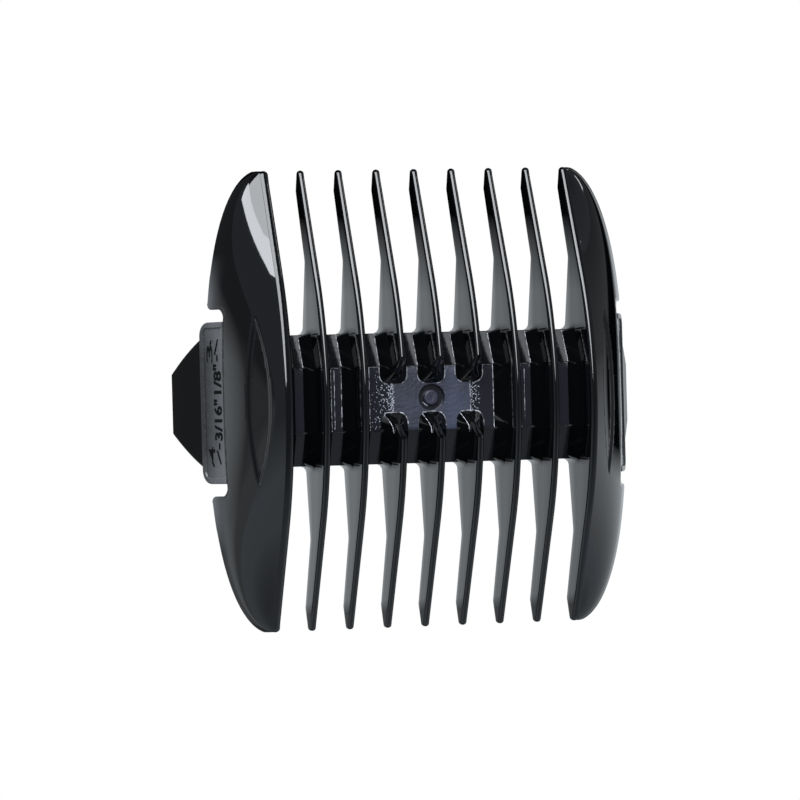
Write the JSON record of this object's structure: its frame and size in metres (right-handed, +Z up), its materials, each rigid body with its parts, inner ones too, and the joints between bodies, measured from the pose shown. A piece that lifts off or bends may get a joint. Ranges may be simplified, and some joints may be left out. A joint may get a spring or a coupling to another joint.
{
  "type": "clipper guard comb",
  "caption": "Reversible clip-on guard comb for a hair clipper: arched teeth between two curved cheeks, a cross bar, and a sprung latch with a release tab on each side.",
  "frame": {"origin": "middle of the comb, on the plane that the two release tabs stand on", "axes": "+X across the teeth to the right, +Y along the teeth to the 3 mm side, +Z up to the side that meets the skin"},
  "size_m": [0.0632, 0.0606, 0.0203],
  "materials": {
    "smoked_plastic": "polished, smoked and slightly see-through",
    "textured_plastic": "fine spark-eroded texture",
    "flap_plastic": "thin smoked wall",
    "black_plastic": "opaque black"
  },
  "bodies": {
    "comb": {"bridge_web": "textured_plastic", "front_flange": "smoked_plastic", "rear_flange": "smoked_plastic", "gate_nub": "textured_plastic", "tooth_1": "smoked_plastic", "tooth_2": "smoked_plastic", "tooth_3_front": "smoked_plastic", "tooth_3_rear": "smoked_plastic", "tooth_4_front": "smoked_plastic", "tooth_4_rear": "smoked_plastic", "tooth_5_front": "smoked_plastic", "tooth_5_rear": "smoked_plastic", "tooth_6": "smoked_plastic", "tooth_7": "smoked_plastic", "left_end_tooth": "smoked_plastic", "right_end_tooth": "smoked_plastic", "left_cheek": "smoked_plastic", "right_cheek": "smoked_plastic"},
    "left_latch": {"left_latch_flap": "flap_plastic", "left_release_tab": "black_plastic", "left_catch": "smoked_plastic"},
    "right_latch": {"right_latch_flap": "flap_plastic", "right_release_tab": "black_plastic", "right_catch": "smoked_plastic"}
  },
  "joints": [
    {"name": "left_latch_flex", "type": "hinge", "parent": "comb", "child": "left_latch", "pos_m": [-0.0267, 0, 0.01059], "axis": [0, 1, 0], "range_deg": [0, 6], "stiffness_Nm_per_rad": 0.15},
    {"name": "right_latch_flex", "type": "hinge", "parent": "comb", "child": "right_latch", "pos_m": [0.0267, 0, 0.01059], "axis": [0, -1, 0], "range_deg": [0, 6], "stiffness_Nm_per_rad": 0.15}
  ]
}
